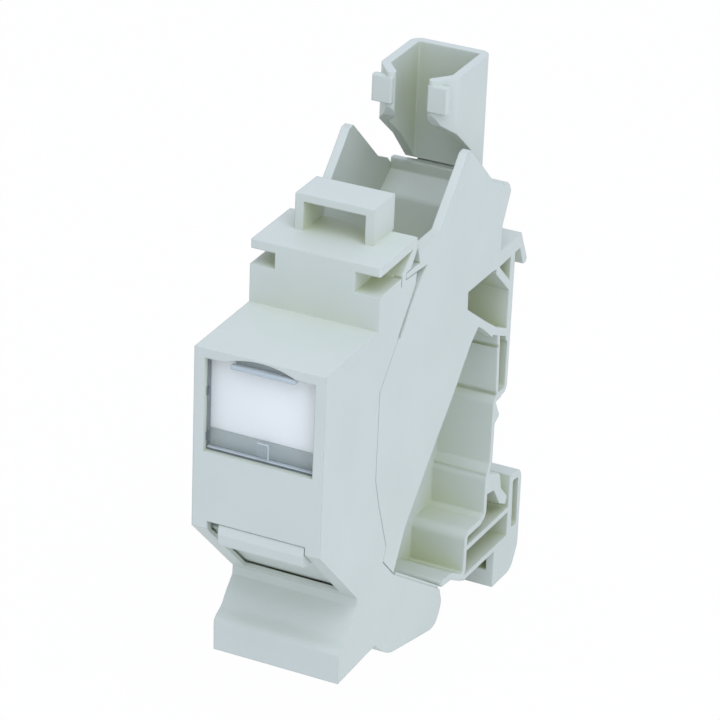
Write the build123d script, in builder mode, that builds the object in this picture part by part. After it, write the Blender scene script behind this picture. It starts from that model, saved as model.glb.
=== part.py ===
from build123d import *

import os
from math import cos, radians, sin

os.makedirs("parts", exist_ok=True)

# Frame: X across the module, Y from the front to the rail, Z up.
# The origin is on the rail's face, at mid-width of the module and mid-height of the rail.

# Jack, which the housing is sized round
jack_width = 14.3
jack_height = 13.4
jack_front_length = 14.0
jack_rear_length = 12.5
jack_setback = 2.3
jack_corner = 0.6
shell_wall = 0.9
half_gap = 0.05
port_width = 11.8
port_height = 6.8
port_depth = 12.0
latch_width = 6.2
latch_depth = 2.6
insert_height = 2.2
contact_count = 8
contact_pitch = 1.02
contact_width = 0.46
contact_thickness = 0.3
contact_depth = 0.7
contact_drop = 2.9
contact_bend = 0.5
groove_clearance = 0.08
board_thickness = 1.0
block_gap = 2.4
block_margin = 0.4
block_length = 5.6
wire_slot_width = 1.1
wire_slot_wall = 0.5
wires_per_block = 4
idc_pitch = 2.6
idc_width = 0.4
idc_margin = 0.3
idc_slot = 0.45
cap_length = 3.2
cap_slot_depth = 1.4
cable_hole = 3.6
fit = 0.12

# Housing
side_wall = 1.15
jack_side_gap = 0.3
module_width = jack_width + 2 * (jack_side_gap + side_wall)
front_depth = 56.5
seam_gap = 0.12
front_top = 24.5
crease_height = 0.5
chamfer_length = 15.9
chamfer_angle = 45.0
block_depth = 14.0
front_wall = 1.3
label_wall = 3.5
top_wall = 1.6

# Rail clip
rail_height = 35.0
hook_under = 17.95
hook_thickness = 2.2
hook_reach = 1.7
hook_lip = 2.9
hook_lip_thickness = 1.2
hook_lip_splay = 1.3
rib_thickness = 1.4
channel_wall = 0.8
strut_thickness = 1.1
fold_thickness = 0.95
fold_bend = 0.75
beam_thickness = 0.75
foot_inside = 3.3
foot_thickness = 4.3
foot_rise = 0.45
foot_rounding = 2.2
foot_bottom = -32.4
foot_slot_depth = 5.5
foot_window = 2.1
foot_window_depth = 2.5
foot_front = -0.9

# Neck, top plate and tie loop
neck_height = 7.1
plate_thickness = 1.1
plate_depth = 10.6
plate_corner = 0.25
notch_depth = 3.3
notch_height = 2.1
notch_extra = 0.5
notch_floor = 6.1
notch_top = 9.2
slit_width = 0.3
slit_height = 1.2
loop_width = 10.5
loop_depth = 5.8
loop_height = 4.7
loop_wall = 1.15
loop_roof = 0.95
loop_shift = -0.2
loop_overhang = 0.6

# Hood under the jack and tail behind it
hood_reach = 4.9
hood_lip = 3.9
hood_wall = 1.3
hood_bottom = -20.4
tail_rear = -18.6

# Label
label_margin = 1.4
label_height = 12.4
label_top = 23.3
label_recess = 1.8
window_thickness = 0.8
window_inset = 0.3
card_thickness = 0.3
card_height = 9.2
card_margin = 0.45
rim_height = 0.9
rib_width = 1.5
rib_shift = -0.4
lip_width = 8.6
lip_height = 0.85
lip_drop = 0.4
lip_shift = 0.3
lip_proud = 0.25
nail_width = 9.3
nail_height = 1.0
nail_depth = 0.75

# Shutter
opening_margin = 0.6
opening_lip = 1.3
opening_rise = 1.05
opening_wall = 0.5
shutter_gap = 0.3
shutter_thickness = 1.1
shutter_side = 0.15
shutter_start = 1.35
shutter_stop = 0.6
grip_left = 5.0
grip_proud = 0.15
grip_drop = 1.9
grip_run = 3.2

# Lid
lid_hinge_y = -4.5
lid_hinge_z = 30.1
lid_width = 10.75
lid_wall = 1.2
lid_length = 16.3
lid_straight = 9.3
lid_pinch = 1.9
lid_pinch_run = 2.4
lid_bend = 0.9
catch_reach = 2.8
catch_thickness = 1.2
catch_height = 3.4
catch_drop = 0.6
hinge_gap = 0.1
wall_drop = 0.2
chamber_wall = 1.0
chamber_band = 2.0
chamber_ledge = 3.2
chamber_fall = 2.2

half_width = module_width / 2
inner_half = half_width - side_wall
front_y = -front_depth
chamfer_y = cos(radians(chamfer_angle))
chamfer_z = sin(radians(chamfer_angle))


def on_chamfer(along, inward):
    """Side-view point measured from the crease, along the chamfer and into the block."""
    y = front_y + along * chamfer_y + inward * chamfer_z
    z = crease_height - along * chamfer_z + inward * chamfer_y
    return (y, z)


def outline(points, corner=0.0):
    """Closed side outline, with its corners rounded where a radius is given."""
    with BuildSketch(Plane.YZ) as shape:
        with BuildLine():
            Polyline(*points, close=True)
        make_face()
        if corner:
            fillet(shape.vertices(), radius=corner)
    return shape.sketch


def wall(path, thickness, bend):
    """Side outline of a wall of even thickness that follows a path and bends at its corners."""
    with BuildSketch(Plane.YZ) as shape:
        with BuildLine():
            if len(path) > 2:
                FilletPolyline(*path, radius=bend)
            else:
                Line(*path)
            offset(amount=thickness / 2, side=Side.BOTH)
        make_face()
    return shape.sketch


def across(shape, low, high):
    """Side outline as a solid between two places across the width."""
    return extrude(shape.moved(Location((low, 0, 0))), amount=high - low, dir=(1, 0, 0))


# Shared places in side view
chamfer_end = on_chamfer(chamfer_length, 0)
neck_y = front_y + block_depth
plate_under = front_top + neck_height
plate_top = plate_under + plate_thickness
plate_rear = neck_y + plate_depth
hood_front = chamfer_end[0] - hood_reach
seat_depth = opening_wall + shutter_gap

# The cover's rear edge from the top plate down to the tail
tab_top = 29.2
seam = [
    (plate_rear, plate_under),
    (plate_rear - 0.1, plate_under - 0.4),
    (plate_rear - 1.7, tab_top),
    (plate_rear - 3.1, tab_top),
    (plate_rear - 3.1, tab_top - 1.0),
    (plate_rear + 0.1, tab_top - 1.2),
    (plate_rear - 0.1, 26.6),
    (plate_rear - 1.2, 25.2),
    (-36.0, 22.0),
    (-37.0, 20.5),
    (-41.3, 15.9),
    (-41.4, 3.9),
    (-40.0, -0.5),
    (-37.3, -7.4),
    (-38.1, -9.2),
    (-34.7, -12.6),
    (-19.3, -22.7),
]
tail_under = [(-33.4, -24.6), (-22.2, -27.5)]
hood_rear = (-39.4, hood_bottom - 0.2)

# Front cover: one moulding, open at the back
with BuildPart() as front_cover:
    with BuildSketch(Plane.YZ.offset(-half_width)):
        with BuildLine():
            Polyline(seam[0], (neck_y, plate_under), (neck_y, front_top), (front_y, front_top),
                     (front_y, crease_height), chamfer_end)
            heel = (chamfer_end[0] - 0.1, chamfer_end[1] - 1.2)
            Line(chamfer_end, heel)
            brow = (hood_front, hood_bottom + hood_lip)
            Spline(heel, (heel[0] - 1.5, heel[1] - 1.5), (heel[0] - 3.2, heel[1] - 3.3), brow,
                   tangents=[(-0.75, -1.0), (-0.15, -1.0)])
            Polyline(brow, (hood_front + 0.1, hood_bottom), hood_rear)
            Spline(hood_rear, (-37.4, -22.4), tail_under[0], tangents=[(1.0, -1.1), (1.0, -0.26)])
            Line(*tail_under)
            Spline(tail_under[1], (-19.9, -27.2), (tail_rear, -25.0), seam[-1],
                   tangents=[(1.0, -0.26), (-0.3, 1.0)])
            Polyline(*reversed(seam))
        make_face()
    extrude(amount=module_width)
    # cavity for the jack
    bevel_seat = on_chamfer(0, opening_wall)
    cavity = [
        (front_y + label_wall, front_top - top_wall),
        (neck_y + front_wall, front_top - top_wall),
        (neck_y + front_wall, plate_under - notch_height - notch_extra - front_wall),
        (plate_rear + 4.0, plate_under - notch_height - notch_extra - front_wall),
        (plate_rear + 4.0, -8.0),
        (seam[-2][0] - 0.3, seam[-2][1] - 1.2),
        (seam[-1][0] - 1.7, seam[-1][1] - 0.5),
        (tail_rear - 2.0, -25.2),
        (tail_rear - 3.5, -25.9),
        (tail_under[0][0] + 0.2, tail_under[0][1] + hood_wall),
        (-37.0, -21.1),
        (hood_rear[0] - 0.2, hood_bottom + hood_wall),
        (hood_front + hood_wall, hood_bottom + hood_wall),
        (hood_front + hood_wall, brow[1] - 0.5),
        (heel[0] - 0.3, heel[1] - 1.9),
        on_chamfer(chamfer_length + 0.7, opening_wall),
        (front_y + front_wall, sum(bevel_seat) - front_y - front_wall),
        (front_y + front_wall, label_top - label_height - front_wall),
        (front_y + label_wall, label_top - label_height - front_wall),
    ]
    add(across(outline(cavity), -inner_half, inner_half), mode=Mode.SUBTRACT)
    # top plate with the loop for a cable tie
    with BuildSketch(Plane.XY.offset(plate_under)):
        with Locations((0, neck_y + plate_depth / 2)):
            RectangleRounded(module_width, plate_depth, plate_corner)
    extrude(amount=plate_thickness)
    loop_front = plate_rear + loop_overhang - loop_depth
    with BuildSketch(Plane.XZ.offset(-loop_front)):
        with Locations((loop_shift, plate_top + loop_height / 2)):
            Rectangle(loop_width, loop_height)
        with Locations((loop_shift, plate_top + (loop_height - loop_roof) / 2)):
            Rectangle(loop_width - 2 * loop_wall, loop_height - loop_roof, mode=Mode.SUBTRACT)
    extrude(amount=-loop_depth)
    # notches under the top plate, each with a sloping back and a slit at its foot
    left_floor = plate_under - notch_height
    for hand, floor_z in ((-1, left_floor), (1, left_floor - notch_extra)):
        notch = [
            (neck_y - 1, plate_under),
            (neck_y - 1, floor_z),
            (neck_y + notch_floor, floor_z),
            (neck_y + notch_top, plate_under),
        ]
        slit = [
            (neck_y + notch_floor, floor_z + 0.1),
            (neck_y + notch_floor, floor_z - slit_height),
            (neck_y + notch_floor + slit_width, floor_z - slit_height),
            (neck_y + notch_floor + slit_width, floor_z + 0.3),
        ]
        inside = hand * (half_width - notch_depth)
        outside = hand * (half_width + 1)
        add(across(outline(notch), *sorted((inside, outside))), mode=Mode.SUBTRACT)
        add(across(outline(slit), *sorted((hand * inner_half, outside))), mode=Mode.SUBTRACT)
    # label recess with a nail notch in its upper edge
    label_width = module_width - 2 * label_margin
    with BuildSketch(Plane.XZ.offset(-front_y)):
        with Locations((0, label_top - label_height / 2)):
            Rectangle(label_width, label_height)
    extrude(amount=-label_recess, mode=Mode.SUBTRACT)
    nail_radius = (nail_width**2 / 4 + nail_height**2) / (2 * nail_height)
    with BuildSketch(Plane.XZ.offset(-front_y)):
        with Locations((0, label_top + nail_height - nail_radius)):
            Circle(nail_radius)
        with Locations((0, label_top - nail_radius)):
            Rectangle(3 * nail_radius, 2 * nail_radius, mode=Mode.SUBTRACT)
    extrude(amount=-nail_depth, mode=Mode.SUBTRACT)
    # jack opening through the chamfer and a little of the front face
    opening_half = jack_width / 2 - opening_margin
    opening_low = chamfer_length - opening_lip
    opening = [
        (front_y - 1, crease_height + opening_rise),
        (front_y + front_wall + 0.1, crease_height + opening_rise),
        on_chamfer(opening_low, seat_depth),
        on_chamfer(opening_low, -3.0),
        (front_y - 1, crease_height - 2.0),
    ]
    add(across(outline(opening), -opening_half, opening_half), mode=Mode.SUBTRACT)
front_cover.part.label = "front_cover"
export_step(front_cover.part, "parts/front_cover.step")

# Label card and the clear window that snaps in over it
recess_floor = front_y + label_recess
with BuildPart() as label_card:
    with Locations((0, recess_floor - card_thickness / 2, label_top - card_margin - card_height / 2)):
        Box(label_width - 2 * card_margin, card_thickness, card_height)
label_card.part.label = "label_card"
export_step(label_card.part, "parts/label_card.step")

with BuildPart() as label_window:
    window_front = front_y + window_inset
    window_foot = label_top - label_height + fit
    with BuildSketch(Plane.XZ.offset(-window_front)):
        with Locations((0, label_top - label_height / 2)):
            Rectangle(label_width - 2 * fit, label_height - 2 * fit)
    extrude(amount=-window_thickness)
    # foot rim and mid rib bear on the recess floor below the card
    with Locations((0, (window_front + recess_floor) / 2, window_foot + rim_height / 2)):
        Box(label_width - 2 * fit, recess_floor - window_front, rim_height)
    rib_top = label_top - card_margin - card_height - fit
    with Locations((rib_shift, (window_front + recess_floor) / 2, (window_foot + rib_top) / 2)):
        Box(rib_width, recess_floor - window_front, rib_top - window_foot)
    # bowed lip to lift it by
    with BuildSketch(Plane.XZ.offset(-window_front + lip_proud)):
        with Locations((lip_shift, label_top - lip_drop - lip_height / 2)):
            SlotOverall(lip_width, lip_height)
    extrude(amount=-lip_proud - window_thickness)
label_window.part.label = "label_window"
export_step(label_window.part, "parts/label_window.step")

# Dust shutter: a panel behind the chamfer with a wedge grip at the front face
with BuildPart() as dust_shutter:
    panel_half = inner_half - shutter_side
    panel = [
        on_chamfer(shutter_start, seat_depth),
        on_chamfer(chamfer_length - shutter_stop, seat_depth),
        on_chamfer(chamfer_length - shutter_stop, seat_depth + shutter_thickness),
        on_chamfer(shutter_start, seat_depth + shutter_thickness),
    ]
    add(across(outline(panel), -panel_half, panel_half))
    grip = [
        (front_y + fit, crease_height + opening_rise - fit),
        (front_y - grip_proud, crease_height - 0.3),
        (front_y - grip_proud + 0.1, crease_height - grip_drop + 0.3),
        (front_y + 0.2, crease_height - grip_drop),
        on_chamfer(grip_run + 0.9, seat_depth),
        on_chamfer(grip_run + 0.9, seat_depth + 0.3),
        on_chamfer(shutter_start, seat_depth + 0.3),
        (front_y + front_wall, crease_height + opening_rise - fit),
    ]
    add(across(outline(grip), -grip_left, opening_half - fit))
dust_shutter.part.label = "dust_shutter"
export_step(dust_shutter.part, "parts/dust_shutter.step")

# Rear carrier. Its side plates run from the seam to the band round the cable chamber.
foot_top = hook_under - rail_height + foot_rise
foot_outside = foot_inside + foot_thickness
plate_edge = [
    (plate_rear + 0.2, plate_under - 0.6),
    (-25.4, plate_under - 0.6),
    (-19.4, 36.9),
    (-18.0, 38.4),
    (-16.9, 38.5),
    (-12.1, 34.2),
    (-8.9, 31.3),
    (-3.5, 29.0),
    (-2.8, 27.8),
    (-5.0, 23.8),
    (-5.0, hook_under - 0.3),
    (-7.35, 18.2),
    (-15.2, 18.5),
    (-15.1, 16.0),
    (-6.0, 9.8),
    (-6.0, 8.2),
    (-11.0, 12.0),
    (-13.4, 10.4),
    (-18.8, 4.8),
    (-23.2, 0.8),
    (-31.5, -7.3),
    (-34.6, -12.5),
    (seam[-2][0] - 6, seam[-2][1]),
    (-46.0, seam[-2][1]),
    (-46.0, 20.8),
    (-35.7, 20.9),
    (-34.4, 22.4),
    (-33.1, 24.0),
    (-31.8, 25.4),
    (-30.6, 26.4),
    (-28.7, 27.8),
    (plate_rear + 0.2, tab_top - 1.2 + seam_gap),
    (plate_rear - 3.1 + seam_gap, tab_top - 1.0 + seam_gap),
    (plate_rear - 3.1 + seam_gap, tab_top - 0.1),
    (plate_rear + 0.9, tab_top - 0.3),
]
# Bed line under the jack, parallel to its axis
jack_low = chamfer_length / 2 + jack_height / 2 + fit
bed_low = on_chamfer(jack_low + chamber_wall / 2, 5.0)
bed_high = on_chamfer(jack_low + chamber_wall / 2, 26.5)
hinge_foot = lid_hinge_z - hinge_gap
chamber_path = [
    (lid_hinge_y, hinge_foot - chamber_wall / 2),
    (lid_hinge_y, hinge_foot - chamber_band),
    (lid_hinge_y - chamber_ledge, hinge_foot - chamber_band - chamber_fall),
    (-9.6, 19.1),
    (-15.9, 19.2),
    (-15.9, 14.9),
    bed_high,
    bed_low,
]
rib_centre = -rib_thickness / 2
channel_top = 6.2
fold_top = -1.7
folded_wall = [
    (-2.0, fold_top - 0.1),
    (-4.0, fold_top - 0.1),
    (-4.05, -11.2),
    (-5.1, -13.2),
    (-5.05, -18.6),
    (-6.4, -19.0),
    (-11.1, -18.7),
    (-11.2, -25.2),
    (-15.6, -22.7),
    (-18.5, -22.3),
]
ribs = [
    # strut under the hook, rail rib, strut under the pocket and the channel behind the rib
    wall([(-5.6, 17.55), (-0.9, 13.4)], strut_thickness, fold_bend),
    wall([(rib_centre, hook_under + 0.2), (rib_centre, channel_top)], rib_thickness, fold_bend),
    wall([(-15.4, 15.3), (-5.3, 8.8), (-0.5, 6.6)], strut_thickness, fold_bend),
    wall([(-0.4, channel_top + 0.3), (-0.4, fold_top), (-3.3, fold_top), (-3.9, 7.6)],
         channel_wall, fold_bend),
    # wall folded down to the foot, so that the foot can spring
    wall(folded_wall, fold_thickness, fold_bend),
    wall([(-10.9, -20.9), (foot_inside + 0.3, -21.9)], beam_thickness, fold_bend),
    wall([(-11.2, -25.2), (foot_inside + 0.3, -26.3)], beam_thickness, fold_bend),
    # hook plate with its splayed lip
    outline([
        (-5.6, hook_under + hook_thickness),
        (hook_reach, hook_under + hook_thickness),
        (hook_reach + hook_lip_splay + hook_lip_thickness, hook_under - hook_lip + 0.5),
        (hook_reach + hook_lip_splay + 0.8, hook_under - hook_lip),
        (hook_reach + hook_lip_splay, hook_under - hook_lip + 0.1),
        (hook_reach - 0.1, hook_under),
        (-5.6, hook_under),
    ]),
    # spring finger under the rail's lower edge
    outline([
        (-5.4, -12.3),
        (-1.0, -14.2),
        (-0.4, -14.8),
        (0.2, -hook_under + 0.9),
        (2.6, -19.4),
        (2.1, -20.4),
        (0.0, -19.3),
        (-2.3, -16.2),
        (-4.9, -15.6),
    ]),
    # nub on the back of the folded wall
    outline([(-3.7, -2.2), (-2.2, -4.7), (-2.3, -5.0), (-3.7, -5.6)]),
]
foot = [
    (foot_inside, foot_top),
    (foot_outside - 0.15, foot_top - 0.4),
    (foot_outside, -29.3),
    (foot_outside - 2.0, foot_bottom),
    (foot_front, foot_bottom + 0.5),
    (foot_front, -26.2),
    (foot_inside, -26.4),
]
foot_slot = [
    (foot_inside + 1.2, foot_top - 1.3),
    (foot_outside - 1.2, foot_top - 1.7),
    (foot_outside - 0.9, -25.7),
    (foot_inside + 1.6, -25.4),
]
web_outline = [
    (-15.4, 15.3),
    (bed_high[0] + 0.2, bed_high[1] - 0.2),
    (bed_low[0] + 0.2, bed_low[1] - 0.2),
    (-36.6, -7.2),
    (-34.1, -12.5),
    (-18.6, -22.4),
    (-15.6, -22.8),
    (-11.4, -25.2),
    (-11.2, -18.9),
    (-6.4, -19.2),
    (-5.3, -18.6),
    (-5.3, -13.2),
    (-4.2, -11.2),
    (-4.2, -2.0),
    (-4.1, 7.0),
    (-5.4, 8.6),
]
web_low = -0.2
web_thickness = 1.1
groove_height = 0.5
groove_depth = 0.45
cover_zone = [*seam, (tail_rear, -25.0), (tail_rear, -45.0), (-70.0, -45.0), (-70.0, 45.0),
              (plate_rear, 45.0)]

with BuildPart() as rear_carrier:
    for low in (-half_width, inner_half):
        add(across(outline(plate_edge), low, low + side_wall))
    add(across(wall(chamber_path, chamber_wall, fold_bend), -half_width, half_width))
    for rib in ribs:
        add(across(rib, -half_width, half_width))
    # beside the lid the chamber's back wall stops lower, and the left plate falls short of it
    for hand, drop in ((-1, wall_drop), (1, 3 * wall_drop)):
        with Locations((hand * (half_width + lid_width / 2) / 2, lid_hinge_y, hinge_foot)):
            Box((module_width - lid_width) / 2, 2 * chamber_wall, 2 * drop, mode=Mode.SUBTRACT)
    left_end = [(-6.3, 30.4), (-4.2, 28.2), (-1.0, 28.2), (-1.0, 32.0), (-6.3, 32.0)]
    add(across(outline(left_end), -half_width - 1, -inner_half), mode=Mode.SUBTRACT)
    add(across(outline(foot), -half_width, half_width))
    foot_edges = rear_carrier.edges().filter_by(Axis.X).filter_by(
        lambda edge: edge.center().Y > foot_outside - 2.1 and edge.center().Z < foot_top + 0.1)
    fillet(foot_edges, radius=foot_rounding)
    add(across(outline(web_outline), web_low, web_low + web_thickness))
    for hand in (-1, 1):
        outside = hand * (half_width + 1)
        inside = hand * (half_width - foot_slot_depth)
        add(across(outline(foot_slot, 0.4), *sorted((inside, outside))), mode=Mode.SUBTRACT)
        with Locations((hand * (half_width - foot_window), foot_front, -28.4)):
            Box(foot_window, 2 * foot_window_depth, foot_window, mode=Mode.SUBTRACT)
    # grooves in the front of the channel wall
    for groove_y, groove_z in ((-4.3, channel_top - 0.1), (-3.9, fold_top + 0.7)):
        with Locations((0, groove_y, groove_z)):
            Box(module_width, 2 * groove_depth, groove_height, mode=Mode.SUBTRACT)
    # the cover's own side walls and tail take this place
    place = offset(outline(cover_zone), amount=seam_gap, kind=Kind.INTERSECTION)
    for hand in (-1, 1):
        limits = sorted((hand * (inner_half - fit), hand * (half_width + 1)))
        add(across(place, *limits), mode=Mode.SUBTRACT)
rear_carrier.part.label = "rear_carrier"
export_step(rear_carrier.part, "parts/rear_carrier.step")

# Cable lid: a channel on a film hinge, pinched in at its lips, with a catch turned out on each
with BuildPart() as cable_lid:
    lid_half = lid_width / 2 - lid_wall / 2
    lid_low = lid_hinge_z + hinge_gap / 2
    lid_top = lid_hinge_z + lid_length
    bend_y = lid_hinge_y - lid_straight
    lip_half = lid_half - lid_pinch
    lip_front = bend_y - lid_pinch_run
    with BuildSketch(Plane.XY.offset(lid_low)):
        with BuildLine():
            FilletPolyline(
                (-lip_half, lip_front),
                (-lid_half, bend_y),
                (-lid_half, lid_hinge_y),
                (lid_half, lid_hinge_y),
                (lid_half, bend_y),
                (lip_half, lip_front),
                radius=lid_bend,
            )
            offset(amount=lid_wall / 2, side=Side.BOTH)
        make_face()
    extrude(amount=lid_top - lid_low)
    catch_top = lid_top - catch_drop
    for hand in (-1, 1):
        with BuildSketch(Plane.XY.offset(catch_top)):
            with Locations((hand * (lip_half - 0.5 + catch_reach / 2), lip_front - 0.3)):
                RectangleRounded(catch_reach, catch_thickness, 0.3)
        extrude(amount=-catch_height)
    # sloping cut that clears the chamber when the lid swings down
    clearance_cut = [
        (lid_hinge_y + lid_wall / 2, lid_low - 1),
        (lid_hinge_y + lid_wall / 2, lid_low),
        (lid_hinge_y - lid_wall / 2, lid_low + 0.4),
        (-9.4, 35.2),
        (-15.8, 40.3),
        (lip_front - 1, catch_top - catch_height + 0.1),
        (lip_front - 3, catch_top - catch_height + 0.1),
        (lip_front - 3, lid_low - 1),
    ]
    add(across(outline(clearance_cut), -module_width, module_width), mode=Mode.SUBTRACT)
cable_lid.part.label = "cable_lid"
export_step(cable_lid.part, "parts/cable_lid.step")

# Jack: everything lies on one axis, square to the chamfer
jack_centre = on_chamfer(chamfer_length / 2, 0)
jack_axis = Plane(
    origin=(0, jack_centre[0], jack_centre[1]),
    x_dir=(1, 0, 0),
    z_dir=(0, chamfer_z, chamfer_y),
)
jack_back = jack_setback + jack_front_length
port_top = -port_height / 2
insert_start = jack_setback + shell_wall
insert_back = jack_back - fit


def along(offset_in):
    """Plane square to the jack axis, this far in from the chamfer."""
    return jack_axis.offset(offset_in)


with BuildPart() as jack_front_shell:
    with BuildSketch(along(jack_setback)):
        RectangleRounded(jack_width, jack_height, jack_corner)
    extrude(amount=jack_front_length)
    with BuildSketch(along(jack_setback)):
        Rectangle(port_width, port_height)
        with Locations((0, (port_height + latch_depth) / 2)):
            Rectangle(latch_width, latch_depth)
    extrude(amount=port_depth, mode=Mode.SUBTRACT)
    # pocket for the contact insert, open to the rear and down into the port
    with BuildSketch(along(insert_start)):
        with Locations((0, port_top - insert_height / 2)):
            Rectangle(port_width, insert_height + 2 * fit)
    extrude(amount=jack_front_length, mode=Mode.SUBTRACT)
jack_front_shell.part.label = "jack_front_shell"
export_step(jack_front_shell.part, "parts/jack_front_shell.step")

with BuildPart() as contact_insert:
    with BuildSketch(along(insert_start + fit)):
        with Locations((0, port_top - insert_height / 2)):
            Rectangle(port_width - 2 * fit, insert_height)
    extrude(amount=insert_back - insert_start - fit)
    # one groove for each contact
    with BuildSketch(along(insert_start)):
        with Locations((0, port_top - contact_depth / 2)):
            with GridLocations(contact_pitch, 1, contact_count, 1):
                Rectangle(contact_width + 2 * groove_clearance,
                          contact_depth + contact_thickness + 2 * groove_clearance)
    extrude(amount=jack_front_length, mode=Mode.SUBTRACT)
contact_insert.part.label = "contact_insert"
export_step(contact_insert.part, "parts/contact_insert.step")

# Spring contacts: straight in the comb, turned back at the front into the port
for number in range(contact_count):
    place = (number - (contact_count - 1) / 2) * contact_pitch
    side_plane = Plane(
        origin=jack_axis.from_local_coords((place - contact_width / 2, 0, 0)),
        x_dir=jack_axis.y_dir,
        z_dir=jack_axis.x_dir,
    )
    with BuildPart() as spring_contact:
        with BuildSketch(side_plane):
            with BuildLine():
                FilletPolyline(
                    (port_top - contact_depth, insert_back),
                    (port_top - contact_depth, insert_start + 1.7),
                    (port_top - contact_depth + contact_drop, insert_start + 6.7),
                    radius=contact_bend,
                )
                offset(amount=contact_thickness / 2, side=Side.BOTH)
            make_face()
        extrude(amount=contact_width)
    spring_contact.part.label = f"contact_{number + 1}"
    export_step(spring_contact.part, f"parts/contact_{number + 1}.step")

bay_width = jack_width - 2 * shell_wall
bay_height = jack_height - 2 * shell_wall
with BuildPart() as circuit_board:
    with BuildSketch(along(jack_back + fit)):
        Rectangle(bay_width - 2 * fit, bay_height - 2 * fit)
    extrude(amount=board_thickness)
circuit_board.part.label = "circuit_board"
export_step(circuit_board.part, "parts/circuit_board.step")

with BuildPart() as jack_rear_shell:
    with BuildSketch(along(jack_back + half_gap)):
        RectangleRounded(jack_width, jack_height, jack_corner)
    extrude(amount=jack_rear_length)
    with BuildSketch(along(jack_back)):
        Rectangle(bay_width, bay_height)
    extrude(amount=jack_rear_length - shell_wall, mode=Mode.SUBTRACT)
    with BuildSketch(along(jack_back)):
        Circle(cable_hole)
    extrude(amount=jack_rear_length + 1, mode=Mode.SUBTRACT)
jack_rear_shell.part.label = "jack_rear_shell"
export_step(jack_rear_shell.part, "parts/jack_rear_shell.step")

# Two terminal blocks on the board, four wire slots each, and their cutting contacts
block_height = (bay_height - block_gap) / 2 - block_margin
block_spread = (block_gap + block_height) / 2
wire_slot_height = block_height - 2 * wire_slot_wall
idc_height = wire_slot_height - 2 * idc_margin
block_start = jack_back + fit + board_thickness + half_gap
for row, row_y in (("upper", -block_spread), ("lower", block_spread)):
    with BuildPart() as terminal_block:
        with BuildSketch(along(block_start)):
            with Locations((0, row_y)):
                Rectangle(bay_width - 4 * fit, block_height)
        extrude(amount=block_length)
        with BuildSketch(along(block_start)):
            with Locations((0, row_y)):
                with GridLocations(idc_pitch, 1, wires_per_block, 1):
                    Rectangle(wire_slot_width, wire_slot_height)
        extrude(amount=block_length, mode=Mode.SUBTRACT)
    terminal_block.part.label = f"terminal_block_{row}"
    export_step(terminal_block.part, f"parts/terminal_block_{row}.step")
    for number in range(wires_per_block):
        place = (number - (wires_per_block - 1) / 2) * idc_pitch
        with BuildPart() as cutting_contact:
            with BuildSketch(along(block_start)):
                with Locations((place, row_y)):
                    Rectangle(idc_width, idc_height)
            extrude(amount=block_length - 0.6)
            with BuildSketch(along(block_start + 2.0)):
                with Locations((place, row_y)):
                    Rectangle(idc_width, idc_slot)
            extrude(amount=block_length, mode=Mode.SUBTRACT)
        cutting_contact.part.label = f"idc_{row}_{number + 1}"
        export_step(cutting_contact.part, f"parts/idc_{row}_{number + 1}.step")

with BuildPart() as wire_cap:
    cap_start = block_start + block_length + fit
    with BuildSketch(along(cap_start)):
        Rectangle(bay_width - 4 * fit, bay_height - 4 * fit)
        Circle(cable_hole - 0.3, mode=Mode.SUBTRACT)
    extrude(amount=cap_length)
    with BuildSketch(along(cap_start)):
        for row_y in (-block_spread, block_spread):
            with Locations((0, row_y)):
                with GridLocations(idc_pitch, 1, wires_per_block, 1):
                    Rectangle(wire_slot_width, block_height)
    extrude(amount=cap_slot_depth, mode=Mode.SUBTRACT)
wire_cap.part.label = "wire_cap"
export_step(wire_cap.part, "parts/wire_cap.step")
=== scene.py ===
import math

import bmesh
import bpy
from mathutils import Matrix, Vector


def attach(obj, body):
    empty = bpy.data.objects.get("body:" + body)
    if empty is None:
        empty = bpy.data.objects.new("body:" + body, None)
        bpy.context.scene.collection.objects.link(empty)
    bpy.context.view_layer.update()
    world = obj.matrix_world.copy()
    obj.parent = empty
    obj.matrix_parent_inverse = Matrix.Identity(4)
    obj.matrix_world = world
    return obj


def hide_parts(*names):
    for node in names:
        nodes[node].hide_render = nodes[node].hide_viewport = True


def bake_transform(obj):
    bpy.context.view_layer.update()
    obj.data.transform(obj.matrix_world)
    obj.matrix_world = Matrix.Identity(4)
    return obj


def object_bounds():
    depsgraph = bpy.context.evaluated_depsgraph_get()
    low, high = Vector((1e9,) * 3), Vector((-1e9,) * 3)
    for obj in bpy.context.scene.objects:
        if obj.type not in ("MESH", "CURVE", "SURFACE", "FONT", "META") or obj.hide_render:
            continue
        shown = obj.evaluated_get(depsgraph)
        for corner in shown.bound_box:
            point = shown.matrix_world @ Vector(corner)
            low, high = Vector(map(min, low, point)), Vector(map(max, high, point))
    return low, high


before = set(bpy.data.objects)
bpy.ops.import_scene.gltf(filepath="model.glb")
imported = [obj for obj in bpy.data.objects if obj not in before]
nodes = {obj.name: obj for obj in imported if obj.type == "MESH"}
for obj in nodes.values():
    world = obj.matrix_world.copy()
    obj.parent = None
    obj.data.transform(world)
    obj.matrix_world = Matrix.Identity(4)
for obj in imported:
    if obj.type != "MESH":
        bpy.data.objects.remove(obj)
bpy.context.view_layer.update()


# Housing plastic. The cover, the carrier, the lid and the shutter are all moulded in one light
# grey filled plastic with a fine satin face. It scatters a little light at thin edges, and its
# corners are slightly rounded by the mould. Its material also carries a painted highlight along
# the edges and painted shade in the hollows.
def new_material(name):
    material = bpy.data.materials.new(name)
    material.use_nodes = True
    material.node_tree.nodes.clear()
    return material, material.node_tree.nodes, material.node_tree.links


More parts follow.
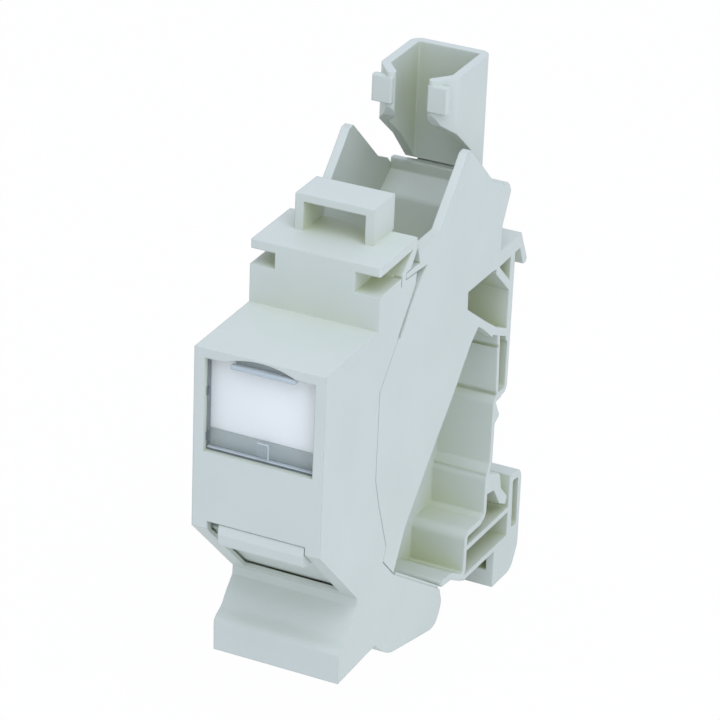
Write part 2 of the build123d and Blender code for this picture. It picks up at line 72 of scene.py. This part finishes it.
def moulded_plastic(name, colour, corner_mm, satin):
    material, shaders, wires = new_material(name)
    surface = shaders.new("ShaderNodeOutputMaterial")
    plastic = shaders.new("ShaderNodeBsdfPrincipled")
    wires.new(plastic.outputs["BSDF"], surface.inputs["Surface"])
    place = shaders.new("ShaderNodeTexCoord")

    # faint clouding of the pigment
    cloud = shaders.new("ShaderNodeTexNoise")
    cloud.inputs["Scale"].default_value = 90.0
    cloud.inputs["Detail"].default_value = 3.0
    wires.new(place.outputs["Object"], cloud.inputs["Vector"])
    tone = shaders.new("ShaderNodeValToRGB")
    low, high = tone.color_ramp.elements
    low.position, high.position = 0.3, 0.7
    low.color = (*[c * 0.975 for c in colour], 1)
    high.color = (*[c * 1.015 for c in colour], 1)
    wires.new(cloud.outputs["Fac"], tone.inputs["Fac"])

    # painted highlight: the colour is painted a touch paler where the rounded bevel normal turns
    # from the face, for the bright lines along the corners; the bevel also rounds their shading
    edge = shaders.new("ShaderNodeBevel")
    edge.samples = 6
    edge.inputs["Radius"].default_value = corner_mm * 0.001
    flat = shaders.new("ShaderNodeNewGeometry")
    turn = shaders.new("ShaderNodeVectorMath")
    turn.operation = "DOT_PRODUCT"
    wires.new(edge.outputs["Normal"], turn.inputs[0])
    wires.new(flat.outputs["Normal"], turn.inputs[1])
    painted_highlight_mask = shaders.new("ShaderNodeMapRange")
    painted_highlight_mask.inputs["From Min"].default_value = 0.995
    painted_highlight_mask.inputs["From Max"].default_value = 0.9
    painted_highlight_mask.inputs["To Min"].default_value = 0.0
    painted_highlight_mask.inputs["To Max"].default_value = 0.35
    wires.new(turn.outputs["Value"], painted_highlight_mask.inputs["Value"])
    # paint the edges paler: a painted highlight
    pale = shaders.new("ShaderNodeMixRGB")
    pale.inputs["Color2"].default_value = (*[min(1, c * 1.12) for c in colour], 1)
    wires.new(painted_highlight_mask.outputs["Result"], pale.inputs["Fac"])
    wires.new(tone.outputs["Color"], pale.inputs["Color1"])

    # painted shade: hollows are painted darker and warmer by how closed in the surface is,
    # standing in for light that has bounced about in a hollow and comes out a shade warmer, as in
    # translucent plastic
    hollow = shaders.new("ShaderNodeAmbientOcclusion")
    hollow.samples = 6
    hollow.only_local = True
    hollow.inputs["Distance"].default_value = 0.014
    hollow_shade_mask = shaders.new("ShaderNodeMapRange")
    hollow_shade_mask.inputs["From Min"].default_value = 0.5
    hollow_shade_mask.inputs["From Max"].default_value = 0.2
    wires.new(hollow.outputs["AO"], hollow_shade_mask.inputs["Value"])
    painted_hollow_shade = shaders.new("ShaderNodeMixRGB")
    painted_hollow_shade.blend_type = "MULTIPLY"
    painted_hollow_shade.inputs["Color2"].default_value = (0.97, 0.97, 0.74, 1)
    wires.new(hollow_shade_mask.outputs["Result"], painted_hollow_shade.inputs["Fac"])
    wires.new(pale.outputs["Color"], painted_hollow_shade.inputs["Color1"])
    wires.new(painted_hollow_shade.outputs["Color"], plastic.inputs["Base Color"])

    # spark-eroded mould face: a very fine, even grain
    grain = shaders.new("ShaderNodeTexNoise")
    grain.inputs["Scale"].default_value = 5200.0
    grain.inputs["Detail"].default_value = 2.0
    wires.new(place.outputs["Object"], grain.inputs["Vector"])
    sheen = shaders.new("ShaderNodeMapRange")
    sheen.inputs["To Min"].default_value = satin - 0.05
    sheen.inputs["To Max"].default_value = satin + 0.07
    wires.new(grain.outputs["Fac"], sheen.inputs["Value"])
    wires.new(sheen.outputs["Result"], plastic.inputs["Roughness"])
    dimple = shaders.new("ShaderNodeBump")
    dimple.inputs["Strength"].default_value = 0.12
    dimple.inputs["Distance"].default_value = 0.00002
    wires.new(grain.outputs["Fac"], dimple.inputs["Height"])
    wires.new(edge.outputs["Normal"], dimple.inputs["Normal"])
    wires.new(dimple.outputs["Normal"], plastic.inputs["Normal"])

    plastic.inputs["IOR"].default_value = 1.49
    plastic.inputs["Specular IOR Level"].default_value = 0.4
    return material


housing_grey = (0.585, 0.628, 0.512)
housing_plastic = moulded_plastic("light_grey_plastic", housing_grey, 0.22, 0.5)


def wear(node, material):
    mesh = nodes[node].data
    mesh.materials.clear()
    mesh.materials.append(material)


for node in ("front_cover", "rear_carrier", "cable_lid", "dust_shutter"):
    wear(node, housing_plastic)


# Film hinge. The lid hangs on the top edge of the chamber's back wall by a thin web of
# the same plastic, waisted where it bends. It ends short of the lid's rounded corners.
def moulding(name, shape, material, smooth=False):
    """Turn a finished bmesh into a piece of one material."""
    mesh = bpy.data.meshes.new(name)
    shape.to_mesh(mesh)
    shape.free()
    mesh.materials.append(material)
    if smooth:
        mesh.shade_smooth()
    piece = bpy.data.objects.new(name, mesh)
    bpy.context.scene.collection.objects.link(piece)
    return piece


def bar_across(name, profile, stations, material):
    """A bar along X with the given side outline, cut at the given stations, in metres."""
    shape = bmesh.new()
    rings = [[shape.verts.new((x, y, z)) for y, z in profile] for x in stations]
    for first, second in zip(rings, rings[1:]):
        for index in range(len(profile)):
            after = (index + 1) % len(profile)
            shape.faces.new((first[index], first[after], second[after], second[index]))
    shape.faces.new(list(reversed(rings[0])))
    shape.faces.new(rings[-1])
    bmesh.ops.recalc_face_normals(shape, faces=shape.faces)
    return moulding(name, shape, material)


hinge_y, hinge_z, hinge_half = -0.0045, 0.03005, 0.0039
web_side = [
    (0.00032, -0.00016),
    (0.00026, -0.00006),
    (0.00022, 0.00001),
    (0.00026, 0.00008),
    (0.00032, 0.00016),
]
web_profile = [(hinge_y - y, hinge_z + z) for y, z in web_side]
web_profile += [(hinge_y + y, hinge_z + z) for y, z in reversed(web_side)]
film_cuts = 6
film_stations = [hinge_half * step / film_cuts for step in range(-film_cuts, film_cuts + 1)]
film = bar_across("hinge_film", web_profile, film_stations, housing_plastic)
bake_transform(film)


# Seam bead. A low bead on the cover's tail, on both side walls and across the back, meets
# the carrier's ledge above it, so that no light shows through between the two mouldings.
tail_corner, seam_slope = (-0.0193, -0.0227), -0.6558
bead_lean, bead_rise = 0.00021, 0.00032
bead_back, side_front, cross_front = -0.0195, -0.0335, -0.0206
for name, bead_front, bead_stations in (
    ("seam_bead_left", side_front, (-0.0084, -0.0080, -0.0075)),
    ("seam_bead_right", side_front, (0.0075, 0.0080, 0.0084)),
    ("seam_bead_rear", cross_front, (-0.0075, 0.0, 0.0075)),
):
    foot_line = [
        (y, tail_corner[1] + seam_slope * (y - tail_corner[0])) for y in (bead_back, bead_front)
    ]
    ridge_line = [(y + bead_lean, z + bead_rise) for y, z in reversed(foot_line)]
    bead = bar_across(name, foot_line + ridge_line, bead_stations, housing_plastic)
    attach(bead, "housing")


# Label. A blank card lies in the recess of the front face, and a clear moulded
# window with a foot rim, a middle tab and a lifting lip snaps in over it.
card_stock = moulded_plastic("label_card_stock", (0.88, 0.885, 0.765), 0.05, 0.8)


def rounded_block(name, low, high, corner, material):
    """A small moulded block, its edges rounded, from its lowest to its highest corner."""
    shape = bmesh.new()
    bmesh.ops.create_cube(shape, size=1.0)
    middle = [(a + b) / 2 for a, b in zip(low, high)]
    for vert in shape.verts:
        vert.co = Vector([m + c * (b - a) for m, c, a, b in zip(middle, vert.co, low, high)])
    bmesh.ops.bevel(
        shape, geom=shape.edges[:], offset=corner, segments=3, profile=0.5, affect="EDGES"
    )
    piece = moulding(name, shape, material, smooth=True)
    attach(piece, "housing")
    return piece


card = rounded_block(
    "blank_card", (-0.00713, -0.05500, 0.01352), (0.00708, -0.05478, 0.02324), 0.00006, card_stock
)
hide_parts("label_card")


def clear_plastic(name, colour, cover, roughness):
    """Clear moulded plastic. Cover is how milky it looks, from 0 to 1."""
    material, shaders, wires = new_material(name)
    surface = shaders.new("ShaderNodeOutputMaterial")
    clear = shaders.new("ShaderNodeBsdfPrincipled")
    clear.inputs["Base Color"].default_value = (*colour, 1)
    clear.inputs["Alpha"].default_value = cover
    clear.inputs["IOR"].default_value = 1.49
    place = shaders.new("ShaderNodeTexCoord")
    flow = shaders.new("ShaderNodeTexNoise")
    flow.inputs["Scale"].default_value = 420.0
    wires.new(place.outputs["Object"], flow.inputs["Vector"])
    spread = shaders.new("ShaderNodeMapRange")
    spread.inputs["To Min"].default_value = roughness * 0.7
    spread.inputs["To Max"].default_value = roughness * 1.3
    wires.new(flow.outputs["Fac"], spread.inputs["Value"])
    wires.new(spread.outputs["Result"], clear.inputs["Roughness"])
    ripple = shaders.new("ShaderNodeBump")
    ripple.inputs["Strength"].default_value = 0.1
    ripple.inputs["Distance"].default_value = 0.00003
    wires.new(flow.outputs["Fac"], ripple.inputs["Height"])
    wires.new(ripple.outputs["Normal"], clear.inputs["Normal"])
    wires.new(clear.outputs["BSDF"], surface.inputs["Surface"])
    return material


pane_plastic = clear_plastic("clear_pane", (0.78, 0.84, 0.78), 0.05, 0.12)
# the pane's foot is tinted dark grey-green: painted shade for the shadow in the recess below the
# card
foot_shade_plastic = clear_plastic("clear_pane_foot_painted_shade", (0.36, 0.43, 0.42), 0.17, 0.2)
# pale milky strips on the foot rim and on the tab's edge and top: a painted highlight
highlight_edge_plastic = clear_plastic("clear_edge_painted_highlight", (0.66, 0.72, 0.68), 0.62, 0.2)
# dark strips along the foot's lower edge, the left side, under the lip and at the snap lugs:
# painted shade for the gaps and the dark edges of the clear window
shade_edge_plastic = clear_plastic("clear_edge_painted_shade", (0.24, 0.28, 0.28), 0.36, 0.25)
lip_plastic = clear_plastic("clear_lip", (0.54, 0.60, 0.56), 0.74, 0.18)
tab_plastic = clear_plastic("clear_tab", (0.62, 0.68, 0.64), 0.12, 0.2)
pane = rounded_block(
    "window_pane",
    (-0.00700, -0.05582, 0.01358),
    (0.00708, -0.05508, 0.02322),
    0.00008,
    pane_plastic,
)
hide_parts("label_window")
# each trim of the window: lowest corner, highest corner, edge rounding, plastic. The foot, its
# lower edge, the left side, the lip root and the snap lugs are painted shade; the foot rim and
# the tab's edge and top are painted highlight.
for name, low, high, corner, material in (
    (
        "window_foot",
        (-0.00704, -0.05580, 0.01136),
        (0.00708, -0.05512, 0.01355),
        0.00006,
        foot_shade_plastic,
    ),
    (
        "window_foot_rim",
        (-0.00704, -0.05594, 0.01124),
        (0.00708, -0.05540, 0.01140),
        0.00006,
        highlight_edge_plastic,
    ),
    (
        "window_foot_edge",
        (-0.00704, -0.05590, 0.01096),
        (0.00708, -0.05490, 0.01121),
        0.00005,
        shade_edge_plastic,
    ),
    (
        "window_side",
        (-0.00714, -0.05590, 0.01104),
        (-0.00703, -0.05490, 0.02322),
        0.00004,
        shade_edge_plastic,
    ),
    (
        "window_lip",
        (-0.0039, -0.05664, 0.02262),
        (0.0047, -0.05570, 0.02322),
        0.00022,
        lip_plastic,
    ),
    (
        "window_lip_root",
        (-0.0034, -0.05600, 0.02324),
        (0.0043, -0.05500, 0.02400),
        0.0001,
        shade_edge_plastic,
    ),
    (
        "window_tab",
        (-0.00050, -0.05594, 0.01126),
        (0.00098, -0.05582, 0.01340),
        0.00005,
        tab_plastic,
    ),
    (
        "window_tab_edge",
        (0.00098, -0.05597, 0.01126),
        (0.00114, -0.05572, 0.01345),
        0.00007,
        highlight_edge_plastic,
    ),
    (
        "window_tab_top",
        (-0.00040, -0.05597, 0.01340),
        (0.00110, -0.05576, 0.01354),
        0.00006,
        highlight_edge_plastic,
    ),
    (
        "window_snap_upper",
        (-0.00719, -0.05604, 0.01808),
        (-0.00700, -0.05540, 0.01925),
        0.00008,
        shade_edge_plastic,
    ),
    (
        "window_snap_lower",
        (-0.00719, -0.05604, 0.01215),
        (-0.00700, -0.05540, 0.01325),
        0.00008,
        shade_edge_plastic,
    ),
):
    rounded_block(name, low, high, corner, material)


# Jack. Two nickel-plated die-cast shells close round the contacts, the board and the
# wire terminals. All of it sits at 45 degrees behind the shutter.
def plated_metal(name, colour, roughness):
    material, shaders, wires = new_material(name)
    surface = shaders.new("ShaderNodeOutputMaterial")
    metal = shaders.new("ShaderNodeBsdfPrincipled")
    metal.inputs["Metallic"].default_value = 1.0
    metal.inputs["Base Color"].default_value = (*colour, 1)
    place = shaders.new("ShaderNodeTexCoord")
    cast = shaders.new("ShaderNodeTexNoise")
    cast.inputs["Scale"].default_value = 900.0
    wires.new(place.outputs["Object"], cast.inputs["Vector"])
    spread = shaders.new("ShaderNodeMapRange")
    spread.inputs["To Min"].default_value = roughness - 0.08
    spread.inputs["To Max"].default_value = roughness + 0.1
    wires.new(cast.outputs["Fac"], spread.inputs["Value"])
    wires.new(spread.outputs["Result"], metal.inputs["Roughness"])
    dent = shaders.new("ShaderNodeBump")
    dent.inputs["Strength"].default_value = 0.2
    dent.inputs["Distance"].default_value = 0.00004
    wires.new(cast.outputs["Fac"], dent.inputs["Height"])
    wires.new(dent.outputs["Normal"], metal.inputs["Normal"])
    wires.new(metal.outputs["BSDF"], surface.inputs["Surface"])
    return material


nickel = plated_metal("nickel_plated_casting", (0.66, 0.65, 0.62), 0.34)
gold = plated_metal("gold_plated_wire", (0.86, 0.62, 0.24), 0.22)
tin = plated_metal("tin_plated_strip", (0.70, 0.70, 0.70), 0.3)
black_plastic = moulded_plastic("black_insulator", (0.018, 0.018, 0.02), 0.1, 0.45)
board_green = moulded_plastic("green_board", (0.012, 0.09, 0.035), 0.05, 0.3)

for node in ("jack_front_shell", "jack_rear_shell"):
    wear(node, nickel)
for node in ("contact_insert", "terminal_block_upper", "terminal_block_lower", "wire_cap"):
    wear(node, black_plastic)
wear("circuit_board", board_green)
for number in range(1, 9):
    wear(f"contact_{number}", gold)
for number in range(1, 5):
    wear(f"idc_upper_{number}", tin)
    wear(f"idc_lower_{number}", tin)


# Studio. A pale floor just under the foot, an even white room and two large soft lamps.
# The white behind the module belongs to the floor and the room, not to more light on it.
cad_low, cad_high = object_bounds()
floor_mesh = bpy.data.meshes.new("studio_floor")
floor_half, floor_drop = 4.0, 0.0002
floor_z = cad_low.z - floor_drop
floor_mesh.from_pydata(
    [(x * floor_half, y * floor_half, floor_z) for x, y in ((-1, -1), (1, -1), (1, 1), (-1, 1))],
    [],
    [(0, 1, 2, 3)],
)
floor = bpy.data.objects.new("studio_floor", floor_mesh)
bpy.context.scene.collection.objects.link(floor)


def larger(first, second):
    """A node that gives the larger of two outputs."""
    pick = shaders.new("ShaderNodeMath")
    pick.operation = "MAXIMUM"
    wires.new(first, pick.inputs[0])
    wires.new(second, pick.inputs[1])
    return pick.outputs[0]


floor_paint, shaders, wires = new_material("studio_white")
surface = shaders.new("ShaderNodeOutputMaterial")
matt = shaders.new("ShaderNodeBsdfDiffuse")
matt.inputs["Color"].default_value = (0.80, 0.81, 0.82, 1)
glow = shaders.new("ShaderNodeEmission")
glow.inputs["Color"].default_value = (1, 1, 1, 1)
seen = shaders.new("ShaderNodeLightPath")
direct = larger(seen.outputs["Is Camera Ray"], seen.outputs["Is Transmission Ray"])
any_view = larger(direct, seen.outputs["Is Glossy Ray"])
# the rest of the floor's look is its own paint, which keeps the shadow
share = shaders.new("ShaderNodeMath")
share.operation = "MULTIPLY"
share.inputs[1].default_value = 0.98
wires.new(any_view, share.inputs[0])
blend = shaders.new("ShaderNodeMixShader")
wires.new(share.outputs[0], blend.inputs["Fac"])
wires.new(matt.outputs[0], blend.inputs[1])
wires.new(glow.outputs[0], blend.inputs[2])
wires.new(blend.outputs[0], surface.inputs["Surface"])
floor_mesh.materials.append(floor_paint)

world = bpy.data.worlds.new("studio_room")
bpy.context.scene.world = world
world.use_nodes = True
shaders, wires = world.node_tree.nodes, world.node_tree.links
shaders.clear()
surface = shaders.new("ShaderNodeOutputWorld")
room = shaders.new("ShaderNodeBackground")
room.inputs["Color"].default_value = (0.925, 0.98, 1.245, 1)
room.inputs["Strength"].default_value = 0.72
white = shaders.new("ShaderNodeBackground")
white.inputs["Color"].default_value = (1, 1, 1, 1)
seen = shaders.new("ShaderNodeLightPath")
any_view = larger(seen.outputs["Is Camera Ray"], seen.outputs["Is Transmission Ray"])
blend = shaders.new("ShaderNodeMixShader")
wires.new(any_view, blend.inputs["Fac"])
wires.new(room.outputs[0], blend.inputs[1])
wires.new(white.outputs[0], blend.inputs[2])
wires.new(blend.outputs[0], surface.inputs["Surface"])


studio_light = (0.925, 0.98, 1.245)
lamp_aim = (0, -0.025, 0.0)


def soft_lamp(name, place, size, watts):
    lamp = bpy.data.lights.new(name, "AREA")
    lamp.shape = "SQUARE"
    lamp.size = size
    lamp.energy = watts
    lamp.color = studio_light
    holder = bpy.data.objects.new(name, lamp)
    bpy.context.scene.collection.objects.link(holder)
    holder.location = place
    holder.rotation_euler = (Vector(lamp_aim) - Vector(place)).to_track_quat("-Z", "Y").to_euler()


soft_lamp("lamp_over", (0.25, -0.35, 0.85), size=0.8, watts=4.3)
soft_lamp("lamp_side", (0.75, -0.45, 0.30), size=0.6, watts=1.5)


# Camera. It looks from the front right and a little above, with a long lens, as the
# product picture does.
camera_data = bpy.data.cameras.new("product_camera")
camera_data.lens = 166.285
camera_data.sensor_width = 36.0
camera_data.clip_start = 0.01
camera_data.clip_end = 20.0
camera = bpy.data.objects.new("product_camera", camera_data)
bpy.context.scene.collection.objects.link(camera)
camera_place = (0.153081, -0.366013, 0.197503)
azimuth, elevation, lean = 24.393, 26.516, 2.364
turn = Matrix.Rotation(math.radians(azimuth), 4, "Z")
tilt = Matrix.Rotation(math.radians(90 - elevation), 4, "X")
roll = Matrix.Rotation(math.radians(lean), 4, "Z")
camera.matrix_world = Matrix.Translation(camera_place) @ turn @ tilt @ roll
bpy.context.scene.camera = camera
bpy.context.scene.view_settings.view_transform = "Standard"
